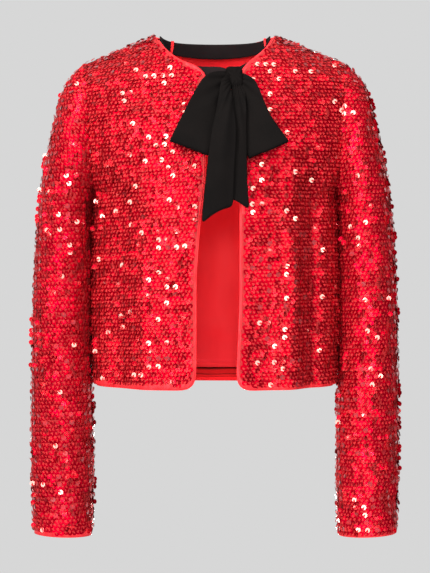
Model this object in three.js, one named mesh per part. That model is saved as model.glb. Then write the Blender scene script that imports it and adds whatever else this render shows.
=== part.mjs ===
// A cropped, collarless jacket of sequin cloth with an open front and long sleeves, in its hollow worn form,
// with a ribbon round the inside of the neck that is tied in a bow. Millimetres, +Z up, the front faces -Y.
// The origin lies midway between the two points where neck and shoulder seams meet.
import * as THREE from "three";

// Cloth and seams
const CLOTH = 2;
const THIN_CLOTH = 1;
const SEAM_GAP = 0.3;

// Body lengths and widths
const NECK_HALF = 78;
const SHOULDER_HALF = 172;
const SHOULDER_DROP = 38;
const UNDERARM_DROP = 208;
const BODY_LENGTH = 457;
const SIDE_HEM_RISE = 3;
const SHOULDER_ROUNDING = 65;
const HEM_CORNER = 16;
const NECK_CORNER_DROP = 12;
const NECK_CORNER_WIDTH = 16;
const BACK_NECK_DROP = 7;
const SLEEVE_LENGTH = 592;
const SLEEVE_HEAD_BLEND = 70;

// The body at levels down from the neck: half width, armhole or side edge, and depth before and behind
const BODY = [
  { z: 10, half: 192, edge: 172, front: 60, back: 60 },
  { z: -38, half: 192, edge: 172, front: 73, back: 78 },
  { z: -58, half: 192, edge: 168.5, front: 81, back: 87 },
  { z: -80, half: 192, edge: 166, front: 89, back: 95 },
  { z: -110, half: 190, edge: 163.5, front: 98, back: 103 },
  { z: -140, half: 184, edge: 161.5, front: 107, back: 108 },
  { z: -170, half: 175, edge: 159.5, front: 113, back: 111 },
  { z: -190, half: 166.5, edge: 158, front: 116, back: 112 },
  { z: -200, half: 161.5, edge: 157.3, front: 117, back: 112 },
  { z: -208, half: 156.5, edge: 156.5, front: 118, back: 112 },
  { z: -235, half: 159, edge: 159, front: 117.5, back: 110 },
  { z: -300, half: 160.3, edge: 160.3, front: 116.5, back: 106.5 },
  { z: -400, half: 160, edge: 160, front: 117, back: 107 },
  { z: -470, half: 158.8, edge: 158.8, front: 118, back: 108 },
];

// The front neckline, from the shoulder seam to the middle
const NECKLINE = [
  { x: 78, z: 0 },
  { x: 75, z: -9 },
  { x: 70, z: -18 },
  { x: 60, z: -29 },
  { x: 48, z: -39 },
  { x: 28, z: -46.5 },
  { x: 0, z: -49 },
];

// How far each front edge stands from the middle
const FRONT_EDGE = [
  { z: -40, right: 14, left: 34 },
  { z: -178, right: 13.5, left: 33 },
  { z: -254, right: 20.6, left: 33 },
  { z: -330, right: 25.6, left: 33 },
  { z: -470, right: 25.6, left: 27.5 },
];

// Folds of the body: where each lies, how far it stands out, and where it starts and is full
const FOLDS = [
  { panel: "front_left", x: 101, out: 14, width: 14, start: -120, full: -320 },
  { panel: "front_left", x: 119, out: -17, width: 11, start: -110, full: -280 },
  { panel: "front_left", x: 60, out: -6, width: 15, start: -230, full: -420 },
  { panel: "front_right", x: -120, out: -9, width: 14, start: -140, full: -360 },
  { panel: "front_right", x: -92, out: 6, width: 16, start: -180, full: -380 },
  { panel: "front_right", x: -52, out: -6, width: 13, start: -220, full: -360 },
  { panel: "back", x: -88, out: -8, width: 20, start: -150, full: -380 },
  { panel: "back", x: -45, out: 4, width: 20, start: -220, full: -420 },
  { panel: "back", x: 20, out: -4, width: 22, start: -240, full: -420 },
  { panel: "back", x: 80, out: -8, width: 20, start: -150, full: -400 },
];
const FOLD_EDGE_FADE = 18;

// The sleeve along its length: its outer and inner points and its half depth
const SLEEVE = [
  { along: 0, outerX: 172, outerZ: -38, innerX: 156.5, innerZ: -208, depth: 50 },
  { along: 9, outerX: 180.5, outerZ: -46, innerX: 158, innerZ: -211, depth: 54 },
  { along: 20, outerX: 189.5, outerZ: -55, innerX: 159.5, innerZ: -214, depth: 57.5 },
  { along: 34, outerX: 197.5, outerZ: -66, innerX: 160.5, innerZ: -218, depth: 60 },
  { along: 52, outerX: 202.5, outerZ: -86, innerX: 161.2, innerZ: -223, depth: 61.5 },
  { along: 75, outerX: 207.5, outerZ: -106, innerX: 161.8, innerZ: -230, depth: 62 },
  { along: 120, outerX: 217, outerZ: -147, innerX: 162, innerZ: -249, depth: 60 },
  { along: 160, outerX: 224.5, outerZ: -182, innerX: 162, innerZ: -269, depth: 58 },
  { along: 235, outerX: 233, outerZ: -263, innerX: 162, innerZ: -318, depth: 54 },
  { along: 350, outerX: 238, outerZ: -385, innerX: 162, innerZ: -415, depth: 50 },
  { along: 510, outerX: 239.5, outerZ: -555, innerX: 159, innerZ: -567, depth: 43.5 },
  { along: 592, outerX: 236.5, outerZ: -650, innerX: 161, innerZ: -653, depth: 40 },
];

// The neck ribbon, its carriers and the front edge facing
const RIBBON_HEIGHT = 20;
const RIBBON_INSET = 6;
const RIBBON_LEAN = 0.25;
const RIBBON_TOP_LOW = -48.5;
const RIBBON_BACK_REACH = 49.2;
const RIBBON_BACK_DIP = 4.6;
const RIBBON_DIP_SQUARENESS = 8;
const RIBBON_SIDE_FOLD = 7.5;
const RIBBON_FOLD_FROM = -45;
const RIBBON_FRONT_AT = { right: [72, 66, 58, 48, 40, 28], left: [72, 66, 58, 48, 40] };
const RIBBON_TUCK = 1.5;
const CARRIER_WIDTH = 4;
const CARRIER_AT = { right: 57, left: 67 };
const CARRIER_EASE = 0.5;
const FACING_LIP = 1.8;
const FACING_WIDTH = 5;

// Steps of the grids
const BODY_ROWS = 10;
const ARM_ROWS = 14;
const NECK_COLUMNS = 8;
const SHOULDER_COLUMNS = 10;
const BACK_NECK_COLUMNS = 8;
const BACK_SHOULDER_COLUMNS = 6;
const SLEEVE_ROWS = 16;
const LOOP_STEPS = 8;
const LOOP_TURN_STEPS = 4;
const TAIL_STEPS = 14;
const TAIL_COLUMNS = 6;
const RIBBON_STEPS = 4;
const NECK_RIBBON_STEPS = 60;
const RIBBON_BACK_STEPS = 10;
const CARRIER_SEARCH_STEPS = 400;
const SLEEVE_ROW_SPREAD = 1.5;
const LINING_MARGIN = 2;
const KNOT_ROWS = 11;
const KNOT_COLUMNS = 16;

// The middle of the body as its panels see it: nearer the middle than the point, and lower
const BODY_CENTRE = { pull: 0.5, down: 40 };

// The hem turning inside the back: how high each step lies above the hem, and how thick it is
const HEM_BANDS = [
  { rise: 1, inside: 0.7 },
  { rise: 7.5, inside: 0.7 },
  { rise: 8.2, inside: 1.2 },
  { rise: 11.4, inside: 1.2 },
  { rise: 12.2, inside: 1.8 },
  { rise: 18.5, inside: 1.8 },
];

// The front edge facing across its width: how far past the cloth's edge, and how far sunk behind it
const FACING_STEPS = [
  { out: FACING_LIP, sink: 0 },
  { out: -FACING_WIDTH / 2, sink: 0.4 },
  { out: -FACING_WIDTH, sink: 1.2 },
];

// The ribbon's two short ends from the neckline corners to the knot
const RIBBON_ENDS = {
  right: [
    { x: -12, y: -70, top: -49 },
    { x: 4, y: -77, top: -50 },
    { x: 18.5, y: -84, top: -53 },
  ],
  left: [
    { x: 33, y: -71.5, top: -48.5 },
    { x: 29.5, y: -76, top: -49.5 },
    { x: 27, y: -82.3, top: -52 },
  ],
};

// The bow's loops from the knot to the end fold: both edges, distance to the front, and the loop's opening
const LOOPS = {
  right: [
    { outerX: 16.9, outerZ: -54, innerX: 16.9, innerZ: -74, y: -90, gape: 3 },
    { outerX: -10, outerZ: -62, innerX: 7, innerZ: -92, y: -99, gape: 12 },
    { outerX: -25, outerZ: -84, innerX: 1, innerZ: -112, y: -107, gape: 13 },
    { outerX: -41, outerZ: -116, innerX: -3, innerZ: -139, y: -113.5, gape: 11 },
    { outerX: -55, outerZ: -144, innerX: -7, innerZ: -162, y: -118, gape: 8 },
  ],
  left: [
    { outerX: 35.1, outerZ: -55, innerX: 35.1, innerZ: -74, y: -89, gape: 3 },
    { outerX: 48.5, outerZ: -67, innerX: 35, innerZ: -93, y: -98.5, gape: 7 },
    { outerX: 57.5, outerZ: -88, innerX: 34, innerZ: -118, y: -108, gape: 7 },
    { outerX: 70, outerZ: -117, innerX: 37, innerZ: -146, y: -115, gape: 7 },
    { outerX: 90, outerZ: -145, innerX: 46, innerZ: -168, y: -119.5, gape: 7 },
  ],
};

// The bow's tails from the knot down: both edges, distance to the front, and how far the middle stands out
const TAILS = {
  right: [
    { leftX: 13, leftZ: -53, rightX: 16.9, rightZ: -73, y: -95.2, swell: 0 },
    { leftX: 7, leftZ: -75, rightX: 20.5, rightZ: -84, y: -110, swell: 2 },
    { leftX: 3, leftZ: -101, rightX: 23, rightZ: -104, y: -122, swell: 4 },
    { leftX: -4.4, leftZ: -136, rightX: 26.5, rightZ: -138, y: -133, swell: 5 },
    { leftX: -11, leftZ: -190, rightX: 24, rightZ: -186, y: -134, swell: 4 },
    { leftX: -17.2, leftZ: -251.4, rightX: 22.5, rightZ: -229.5, y: -130.6, swell: 3.2 },
  ],
  left: [
    { leftX: 24, leftZ: -75.5, rightX: 34, rightZ: -75.5, y: -95, swell: 0 },
    { leftX: 14, leftZ: -97, rightX: 38.8, rightZ: -93, y: -109, swell: 2 },
    { leftX: 10, leftZ: -125, rightX: 39, rightZ: -122, y: -121, swell: 3 },
    { leftX: 9, leftZ: -163, rightX: 39.4, rightZ: -163, y: -126, swell: 3 },
    { leftX: 7, leftZ: -190, rightX: 40, rightZ: -195, y: -126, swell: 3 },
    { leftX: 6, leftZ: -218, rightX: 42.6, rightZ: -233, y: -125, swell: 3 },
  ],
};
const KNOT = { x: 26, y: -91, z: -63.5, halfX: 8.6, halfY: 8, halfZ: 11.6, squareness: 0.6 };

// What the ribbon's outward directions are told from: a step back inside a loop, a place behind a tail
const CORE_STEP = 0.01;
const TAIL_BACK = { behind: 10, below: 4 };

// How far the cut ends of the tails curve up, and from which share of the way down
const TAIL_SCOOP = 4;
const TAIL_SCOOP_FROM = 0.7;

// Colours
const SEQUIN_CLOTH = new THREE.MeshStandardMaterial({ color: 0xd8101c, roughness: 0.35, metalness: 0.2 });
const LINING = new THREE.MeshStandardMaterial({ color: 0xe6232a, roughness: 0.5, metalness: 0 });
const RIBBON = new THREE.MeshStandardMaterial({ color: 0x231f20, roughness: 0.85, metalness: 0 });

// A smooth curve through one column of a table, which never swings past its rows
function curve(rows, key, column) {
  const points = [...rows].sort((a, b) => a[key] - b[key]);
  const last = points.length - 1;
  const rise = (i) => (points[i + 1][column] - points[i][column]) / (points[i + 1][key] - points[i][key]);
  const slopes = points.map((_, i) => {
    if (i === 0) return rise(0);
    if (i === last) return rise(last - 1);
    const before = rise(i - 1);
    const after = rise(i);
    return before * after <= 0 ? 0 : (2 * before * after) / (before + after);
  });
  return (at) => {
    const held = THREE.MathUtils.clamp(at, points[0][key], points[last][key]);
    const i = Math.min(last - 1, points.findLastIndex((point) => point[key] <= held));
    const span = points[i + 1][key] - points[i][key];
    const t = (held - points[i][key]) / span;
    return (
      points[i][column] * (1 + 2 * t) * (1 - t) ** 2 +
      slopes[i] * span * t * (1 - t) ** 2 +
      points[i + 1][column] * t * t * (3 - 2 * t) +
      slopes[i + 1] * span * t * t * (t - 1)
    );
  };
}

const halfWidth = curve(BODY, "z", "half");
const sideEdge = curve(BODY, "z", "edge");
const frontDepth = curve(BODY, "z", "front");
const backDepth = curve(BODY, "z", "back");
const neckline = curve(NECKLINE, "x", "z");
const frontEdge = { right: curve(FRONT_EDGE, "z", "right"), left: curve(FRONT_EDGE, "z", "left") };
const hands = { right: -1, left: 1 };

const shoulderHeight = (x) => (-SHOULDER_DROP * (x - NECK_HALF)) / (SHOULDER_HALF - NECK_HALF);
const hemHeight = (x) => SIDE_HEM_RISE * (x / SHOULDER_HALF) ** 2 - BODY_LENGTH;

// How far the folds push a panel out at a place on it
function foldHeight(panel, x, z) {
  const fade = THREE.MathUtils.smoothstep(sideEdge(z) - Math.abs(x), 0, FOLD_EDGE_FADE);
  return FOLDS.filter((fold) => fold.panel === panel).reduce((sum, fold) => {
    const grown = THREE.MathUtils.smoothstep(-z, -fold.start, -fold.full);
    return sum + fade * grown * fold.out * Math.exp(-(((x - fold.x) / fold.width) ** 2));
  }, 0);
}

// A point on the outside of a body panel
function bodyPoint(panel, x, z) {
  const across = Math.sqrt(Math.max(0, 1 - (x / halfWidth(z)) ** 2));
  const below = (shoulderHeight(Math.abs(x)) - z) / SHOULDER_ROUNDING;
  const risen = Math.sqrt(Math.max(0, 1 - (1 - THREE.MathUtils.clamp(below, 0, 1)) ** 2));
  const depth = panel === "back" ? backDepth(z) : frontDepth(z);
  const out = SEAM_GAP / 2 + depth * across * risen + foldHeight(panel, x, z);
  return new THREE.Vector3(x, panel === "back" ? out : -out, z);
}

// The place across the body, from a start near the middle to the side or armhole edge
function placeAcross(z, start, share) {
  const level = Math.min(z, -SHOULDER_DROP);
  const half = halfWidth(level);
  const first = Math.asin(start / half);
  const end = Math.asin(Math.min(1, sideEdge(level) / half));
  return half * Math.sin(first + (end - first) * share);
}

// The share of the way across at which a panel's column meets the neck end of the shoulder seam
function neckShare(start) {
  const half = halfWidth(-SHOULDER_DROP);
  const first = Math.asin(start / half);
  const end = Math.asin(SHOULDER_HALF / half);
  return (Math.asin(NECK_HALF / half) - first) / (end - first);
}

const eased = (share) => (1 - Math.cos(Math.PI * share)) / 2;
const steps = (count) => Array.from({ length: count + 1 }, (_, i) => i / count);

// The levels of one column, closer together near the armhole's ends and the shoulder seam
function levels(bottom, top) {
  const body = steps(BODY_ROWS).map((t) => THREE.MathUtils.lerp(bottom, -UNDERARM_DROP, t));
  const arm = steps(ARM_ROWS).map((t) => THREE.MathUtils.lerp(-UNDERARM_DROP, top, eased(t)));
  return [...body, ...arm.slice(1)];
}

// The outside of a front panel, as rows from the hem to the neckline and shoulder seam
function frontGrid(hand) {
  const edge = frontEdge[hand];
  const topStart = edge(-SHOULDER_DROP);
  const neck = neckShare(topStart);
  const shares = [
    ...steps(NECK_COLUMNS).map((t) => neck * eased(t)),
    ...steps(SHOULDER_COLUMNS).slice(1).map((t) => THREE.MathUtils.lerp(neck, 1, t)),
  ];
  const columns = shares.map((share) => {
    const topX = placeAcross(0, topStart, share);
    const fromTopEdge = Math.min(1, (topX - topStart) / NECK_CORNER_WIDTH);
    const neckTop = neckline(topX) - NECK_CORNER_DROP * (1 - fromTopEdge) ** 2;
    const top = share >= neck ? shoulderHeight(topX) : neckTop;
    const hemX = placeAcross(-BODY_LENGTH, edge(-BODY_LENGTH), share);
    const fromEdge = THREE.MathUtils.clamp(hemX - edge(-BODY_LENGTH), 0, HEM_CORNER);
    const corner = HEM_CORNER - Math.sqrt(HEM_CORNER ** 2 - (HEM_CORNER - fromEdge) ** 2);
    return levels(hemHeight(hemX) + corner, top).map((z) => {
      return bodyPoint(`front_${hand}`, hands[hand] * placeAcross(z, edge(z), share), z);
    });
  });
  return turned(columns);
}

// The outside of the back panel
function backGrid() {
  const neck = neckShare(0);
  const half = [
    ...steps(BACK_NECK_COLUMNS / 2).map((t) => neck * Math.sin((Math.PI * t) / 2)),
    ...steps(BACK_SHOULDER_COLUMNS).slice(1).map((t) => THREE.MathUtils.lerp(neck, 1, t)),
  ];
  const shares = [...half.slice(1).reverse().map((share) => -share), ...half];
  const columns = shares.map((share) => {
    const size = Math.abs(share);
    const topX = placeAcross(0, 0, size);
    const neckTop = -BACK_NECK_DROP * (1 - (topX / NECK_HALF) ** 2);
    const top = size >= neck ? shoulderHeight(topX) : neckTop;
    const hemX = placeAcross(-BODY_LENGTH, 0, size);
    return levels(hemHeight(hemX), top).map((z) => {
      return bodyPoint("back", Math.sign(share) * placeAcross(z, 0, size), z);
    });
  });
  return turned(columns);
}

// Rows for columns
function turned(columns) {
  return columns[0].map((_, row) => columns.map((column) => column[row]));
}

// The armhole edge of the body at each step round it: down the front, then up the back
function armhole(hand) {
  const middle = -(SHOULDER_DROP + UNDERARM_DROP) / 2;
  const half = (UNDERARM_DROP - SHOULDER_DROP) / 2;
  return Array.from({ length: 2 * ARM_ROWS }, (_, i) => {
    const angle = (Math.PI * i) / ARM_ROWS;
    const z = middle + half * Math.cos(angle);
    const panel = i <= ARM_ROWS ? `front_${hand}` : "back";
    const point = bodyPoint(panel, hands[hand] * placeAcross(z, 0, 1), z);
    if (i % ARM_ROWS === 0) point.y = 0;
    return point;
  });
}

// The outside of a sleeve, as rings from the armhole to the cuff
function sleeveGrid(hand) {
  const side = hands[hand];
  const column = (name) => curve(SLEEVE, "along", name);
  const names = ["outerX", "outerZ", "innerX", "innerZ", "depth"];
  const [outerX, outerZ, innerX, innerZ, depth] = names.map(column);
  const ringPoint = (along, angle) => {
    const swing = (1 + Math.cos(angle)) / 2;
    const x = THREE.MathUtils.lerp(innerX(along), outerX(along), swing) + SEAM_GAP;
    const z = THREE.MathUtils.lerp(innerZ(along), outerZ(along), swing);
    return new THREE.Vector3(side * x, -depth(along) * Math.sin(angle), z);
  };
  const root = armhole(hand).map((point) => point.add(new THREE.Vector3(side * SEAM_GAP, 0, 0)));
  return steps(SLEEVE_ROWS).map((share) => {
    const along = SLEEVE_LENGTH * share ** SLEEVE_ROW_SPREAD;
    const held = 1 - THREE.MathUtils.smoothstep(along, 0, SLEEVE_HEAD_BLEND);
    return root.map((start, i) => {
      const angle = (Math.PI * i) / ARM_ROWS;
      const shift = start.clone().sub(ringPoint(0, angle));
      return ringPoint(along, angle).addScaledVector(shift, held);
    });
  });
}

// The outward direction at each point of a grid
function directions(grid, centre, ring) {
  const lastRow = grid.length - 1;
  const count = grid[0].length;
  const held = (column) => (ring ? (column + count) % count : THREE.MathUtils.clamp(column, 0, count - 1));
  const at = (row, column) => grid[row][held(column)];
  return grid.map((points, row) =>
    points.map((point, column) => {
      const along = at(row, column + 1).clone().sub(at(row, column - 1));
      const up = at(Math.min(lastRow, row + 1), column).clone().sub(at(Math.max(0, row - 1), column));
      const direction = along.cross(up).normalize();
      const outwards = point.clone().sub(centre(point, points));
      return direction.dot(outwards) < 0 ? direction.negate() : direction;
    }),
  );
}

const bodyCentre = (point) => new THREE.Vector3(point.x * BODY_CENTRE.pull, 0, point.z - BODY_CENTRE.down);

function ringCentre(point, points) {
  const sum = points.reduce((total, each) => total.add(each), new THREE.Vector3());
  return sum.divideScalar(points.length);
}

// A grid moved inwards
function inset(grid, ways, distance) {
  return grid.map((points, row) => {
    return points.map((point, i) => point.clone().addScaledVector(ways[row][i], -distance));
  });
}

// One closed wall between two like grids, with its rims; a ring closes on itself along each row
function wall(name, outer, inner, material, ring = false) {
  const rows = outer.length;
  const columns = outer[0].length;
  const positions = [...outer.flat(), ...inner.flat()].flatMap((point) => point.toArray());
  const faces = [];
  const quad = (a, b, c, d) => faces.push([a, b, c], [a, c, d]);
  const near = (row, column) => row * columns + (column % columns);
  const far = (row, column) => rows * columns + near(row, column);
  const wide = ring ? columns : columns - 1;
  const top = rows - 1;
  for (let row = 0; row < top; row += 1) {
    for (let i = 0; i < wide; i += 1) {
      quad(near(row, i), near(row, i + 1), near(row + 1, i + 1), near(row + 1, i));
      quad(far(row, i), far(row + 1, i), far(row + 1, i + 1), far(row, i + 1));
    }
  }
  for (let i = 0; i < wide; i += 1) {
    quad(near(0, i + 1), near(0, i), far(0, i), far(0, i + 1));
    quad(near(top, i), near(top, i + 1), far(top, i + 1), far(top, i));
  }
  for (let row = 0; row < top && !ring; row += 1) {
    quad(near(row, 0), near(row + 1, 0), far(row + 1, 0), far(row, 0));
    quad(near(row + 1, wide), near(row, wide), far(row, wide), far(row + 1, wide));
  }
  return solid(name, positions, faces, material);
}

// A mesh whose faces point out
function solid(name, positions, faces, material) {
  const corner = (index) => new THREE.Vector3().fromArray(positions, 3 * index);
  const volume = faces.reduce((sum, [a, b, c]) => sum + corner(a).dot(corner(b).cross(corner(c))), 0);
  const index = faces.flatMap(([a, b, c]) => (volume < 0 ? [a, c, b] : [a, b, c]));
  const geometry = new THREE.BufferGeometry();
  geometry.setAttribute("position", new THREE.Float32BufferAttribute(positions, 3));
  geometry.setIndex(index);
  geometry.computeVertexNormals();
  const mesh = new THREE.Mesh(geometry, material);
  mesh.name = name;
  return mesh;
}

// Outward directions of a body panel, level with the seams so that both sides of a seam stay parallel
function bodyWays(grid) {
  const ways = directions(grid, bodyCentre, false);
  const top = grid.length - 1;
  const last = grid[0].length - 1;
  const seams = [...grid[top].map((_, i) => [top, i]), ...grid.flatMap((_, row) => [[row, 0], [row, last]])];
  for (const [row, column] of seams) {
    const point = grid[row][column];
    const onSeam = Math.abs(point.y) < SEAM_GAP;
    if (onSeam) ways[row][column].setY(0).normalize();
  }
  return ways;
}

function bodyPanel(name, grid) {
  return wall(name, grid, inset(grid, bodyWays(grid), CLOTH), SEQUIN_CLOTH);
}

function sleeve(hand) {
  const grid = sleeveGrid(hand);
  const ways = directions(grid, ringCentre, true);
  const middle = ringCentre(null, grid[0]);
  grid[0].forEach((point, i) => ways[0][i].copy(point).sub(middle).setX(0).normalize());
  return wall(`sleeve_${hand}`, grid, inset(grid, ways, CLOTH), SEQUIN_CLOTH, true);
}

// A lining inside the back, from just under the neckline to its ease fold
function backLining(grid) {
  const ways = bodyWays(grid);
  const rows = grid.map((_, row) => row).slice(1, -1);
  const columns = grid[0].map((_, i) => i).slice(LINING_MARGIN, -LINING_MARGIN);
  const moved = (row, i, depth) => grid[row][i].clone().addScaledVector(ways[row][i], -depth);
  const layer = (depth) => rows.map((row) => columns.map((i) => moved(row, i, depth)));
  const outer = CLOTH + SEAM_GAP;
  return wall("back_lining", layer(outer), layer(outer + THIN_CLOTH), LINING);
}

// The hem turning inside the back, below the lining, in stepped bands
function hemFacing(grid) {
  const ways = bodyWays(grid);
  const columns = grid[0].map((_, i) => i).slice(LINING_MARGIN, -LINING_MARGIN);
  const place = (i, rise, depth) => {
    const share = rise / (grid[1][i].z - grid[0][i].z);
    const point = grid[0][i].clone().lerp(grid[1][i], share);
    return point.addScaledVector(ways[0][i].clone().lerp(ways[1][i], share).normalize(), -depth);
  };
  const outer = CLOTH + SEAM_GAP;
  const row = (band, depth) => columns.map((i) => place(i, band.rise, outer + depth));
  const near = HEM_BANDS.map((band) => row(band, 0));
  const far = HEM_BANDS.map((band) => row(band, band.inside));
  return wall("back_hem_facing", near, far, LINING);
}

// The facing that shows as a narrow smooth rim at the neckline, front edge and front hem
function edgeFacing(hand, grid) {
  const ways = bodyWays(grid);
  const top = grid.length - 1;
  const last = grid[0].length - 1;
  const places = [
    ...Array.from({ length: NECK_COLUMNS }, (_, i) => [top, NECK_COLUMNS - 1 - i]),
    ...Array.from({ length: top }, (_, i) => [top - 1 - i, 0]),
    ...Array.from({ length: last - 2 }, (_, i) => [0, i + 1]),
  ];
  const points = places.map(([row, i]) => grid[row][i]);
  const inside = grid[Math.floor(top / 2)][Math.floor(last / 2)];
  const layer = (depth) =>
    places.map(([row, i], at) => {
      const before = points[Math.max(0, at - 1)];
      const after = points[Math.min(points.length - 1, at + 1)];
      const out = after.clone().sub(before).cross(ways[row][i]).normalize();
      if (out.dot(inside.clone().sub(points[at])) > 0) out.negate();
      return FACING_STEPS.map((step) =>
        points[at].clone().addScaledVector(out, step.out).addScaledVector(ways[row][i], -(depth + step.sink)),
      );
    });
  const outer = CLOTH + SEAM_GAP;
  return wall(`front_edge_facing_${hand}`, layer(outer), layer(outer + THIN_CLOTH), LINING);
}

// Places of the ribbon's top edge, from the right end round the back of the neck to the left end
function ribbonPath() {
  const inFront = (hand) =>
    RIBBON_FRONT_AT[hand].map((x) => {
      const edge = bodyPoint(`front_${hand}`, hands[hand] * x, neckline(x));
      const ahead = bodyPoint(`front_${hand}`, hands[hand] * (x + 1), neckline(x + 1));
      const across = ahead.sub(edge).setZ(0).normalize();
      const inward = new THREE.Vector3(-across.y, across.x, 0);
      if (inward.x * edge.x + inward.y * edge.y > 0) inward.negate();
      const place = edge.addScaledVector(inward, RIBBON_INSET);
      return place.setZ(Math.max(RIBBON_TOP_LOW, neckline(x) - RIBBON_TUCK));
    });
  const atEnd = (hand) => RIBBON_ENDS[hand].map(({ x, y, top }) => new THREE.Vector3(x, y, top));
  const behind = steps(RIBBON_BACK_STEPS).map((t) => {
    const angle = Math.PI * (t - 0.5);
    const x = (NECK_HALF - RIBBON_INSET) * Math.sin(angle);
    const dip = RIBBON_BACK_DIP * (1 - Math.sin(angle) ** RIBBON_DIP_SQUARENESS);
    return new THREE.Vector3(x, RIBBON_BACK_REACH * Math.cos(angle), -dip);
  });
  const right = [...inFront("right"), ...atEnd("right")].reverse();
  const left = [...inFront("left"), ...atEnd("left")];
  return new THREE.CatmullRomCurve3([...right, ...behind, ...left], false, "centripetal");
}

// The frame at a share of the way along the ribbon: its top edge, its directions, and how tall it stands
function ribbonFrame(path, share) {
  const top = path.getPointAt(share);
  const along = path.getTangentAt(share).setZ(0).normalize();
  const inward = new THREE.Vector3(-along.y, along.x, 0);
  if (inward.x * top.x + inward.y * top.y > 0) inward.negate();
  const lean = RIBBON_LEAN * Math.abs(inward.y);
  const down = new THREE.Vector3(0, 0, -1).addScaledVector(inward, -lean).normalize();
  const behind = THREE.MathUtils.smoothstep(top.y, RIBBON_FOLD_FROM, 0);
  const tall = RIBBON_HEIGHT - RIBBON_SIDE_FOLD * behind * (top.x / NECK_HALF) ** 2;
  return { top, inward: inward.addScaledVector(new THREE.Vector3(0, 0, -1), lean).normalize(), down, tall };
}

function neckRibbon(path) {
  const layer = (side) =>
    steps(NECK_RIBBON_STEPS).map((share) => {
      const { top, inward, down, tall } = ribbonFrame(path, share);
      const edge = top.clone().addScaledVector(inward, (side * THIN_CLOTH) / 2);
      return [0, 0.5, 1].map((height) => edge.clone().addScaledVector(down, tall * height));
    });
  return wall("neck_ribbon", layer(-1), layer(1), RIBBON);
}

// A narrow loop of cloth round the ribbon, at its place on one side of the back of the neck
function carrier(hand, path) {
  const miss = (share) => {
    const point = path.getPointAt(share);
    return Math.hypot(point.x - hands[hand] * CARRIER_AT[hand], Math.min(0, point.y));
  };
  const share = steps(CARRIER_SEARCH_STEPS).reduce((best, each) => (miss(each) < miss(best) ? each : best));
  const { top, inward, down, tall } = ribbonFrame(path, share);
  const along = inward.clone().cross(down).normalize();
  const ringAt = (place, grow) => {
    const deep = THIN_CLOTH / 2 + CARRIER_EASE + grow;
    const past = CARRIER_EASE + grow;
    const corners = [
      { depth: -deep, height: -past },
      { depth: deep, height: -past },
      { depth: deep, height: tall + past },
      { depth: -deep, height: tall + past },
    ];
    const middle = top.clone().addScaledVector(along, place * CARRIER_WIDTH);
    return corners.map((corner) =>
      middle.clone().addScaledVector(inward, corner.depth).addScaledVector(down, corner.height),
    );
  };
  const strip = (grow) => [-0.5, 0.5].map((place) => ringAt(place, grow));
  return wall(`ribbon_carrier_${hand}`, strip(THIN_CLOTH), strip(0), LINING, true);
}

// A rounded, squared wrap of ribbon
function knot() {
  const squared = (value) => Math.sign(value) * Math.abs(value) ** KNOT.squareness;
  const place = (tilt, angle) => [
    KNOT.x + KNOT.halfX * squared(Math.sin(tilt) * Math.cos(angle)),
    KNOT.y + KNOT.halfY * squared(Math.sin(tilt) * Math.sin(angle)),
    KNOT.z + KNOT.halfZ * squared(Math.cos(tilt)),
  ];
  const positions = [place(0, 0)];
  for (let row = 1; row <= KNOT_ROWS; row += 1) {
    for (let i = 0; i < KNOT_COLUMNS; i += 1) {
      positions.push(place((Math.PI * row) / (KNOT_ROWS + 1), (2 * Math.PI * i) / KNOT_COLUMNS));
    }
  }
  positions.push(place(Math.PI, 0));
  const faces = [];
  const bottom = positions.length - 1;
  const at = (row, i) => 1 + (row - 1) * KNOT_COLUMNS + (i % KNOT_COLUMNS);
  for (let i = 0; i < KNOT_COLUMNS; i += 1) {
    faces.push([0, at(1, i), at(1, i + 1)], [bottom, at(KNOT_ROWS, i + 1), at(KNOT_ROWS, i)]);
    for (let row = 1; row < KNOT_ROWS; row += 1) {
      faces.push([at(row, i), at(row + 1, i), at(row + 1, i + 1)]);
      faces.push([at(row, i), at(row + 1, i + 1), at(row, i + 1)]);
    }
  }
  return solid("bow_knot", positions.flat(), faces, RIBBON);
}

// A smooth value of one column at any place between a table's rows
const between = (rows, name) => curve(rows.map((row, at) => ({ ...row, at })), "at", name);

// A loop of the bow: out along its front layer, round the end fold and back along its rear layer
function loop(hand) {
  const rows = LOOPS[hand];
  const last = rows.length - 1;
  const end = rows[last];
  const columns = ["outerX", "outerZ", "innerX", "innerZ", "y", "gape"];
  const [outerX, outerZ, innerX, innerZ, depth, gape] = columns.map((name) => between(rows, name));
  const station = (at, y) => ({
    outer: new THREE.Vector3(outerX(at), y, outerZ(at)),
    inner: new THREE.Vector3(innerX(at), y, innerZ(at)),
  });
  const middle = (at) => station(at, 0).outer.lerp(station(at, 0).inner, 0.5);
  const ahead = middle(last).sub(middle(last - 1)).normalize();
  const places = steps(LOOP_STEPS).map((t) => t * last);
  const front = places.map((at) => station(at, depth(at) - gape(at) / 2));
  const rear = places.map((at) => station(at, depth(at) + gape(at) / 2)).reverse();
  const turn = steps(LOOP_TURN_STEPS).slice(1, -1).map((t) => {
    const radius = end.gape / 2;
    const edges = station(last, end.y - radius * Math.cos(Math.PI * t));
    const reach = radius * Math.sin(Math.PI * t);
    edges.outer.addScaledVector(ahead, reach);
    edges.inner.addScaledVector(ahead, reach);
    return edges;
  });
  const path = [...front, ...turn, ...rear];
  const grid = path.map(({ outer, inner }) => steps(RIBBON_STEPS).map((t) => outer.clone().lerp(inner, t)));
  const core = [...places, ...turn.map(() => last), ...places.slice().reverse()].map(depth);
  const ways = grid.map((points, row) =>
    directions(grid, (point) => point.clone().setY(core[row]).addScaledVector(ahead, -CORE_STEP), false)[row],
  );
  return wall(`bow_loop_${hand}`, grid, inset(grid, ways, THIN_CLOTH), RIBBON);
}

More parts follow.
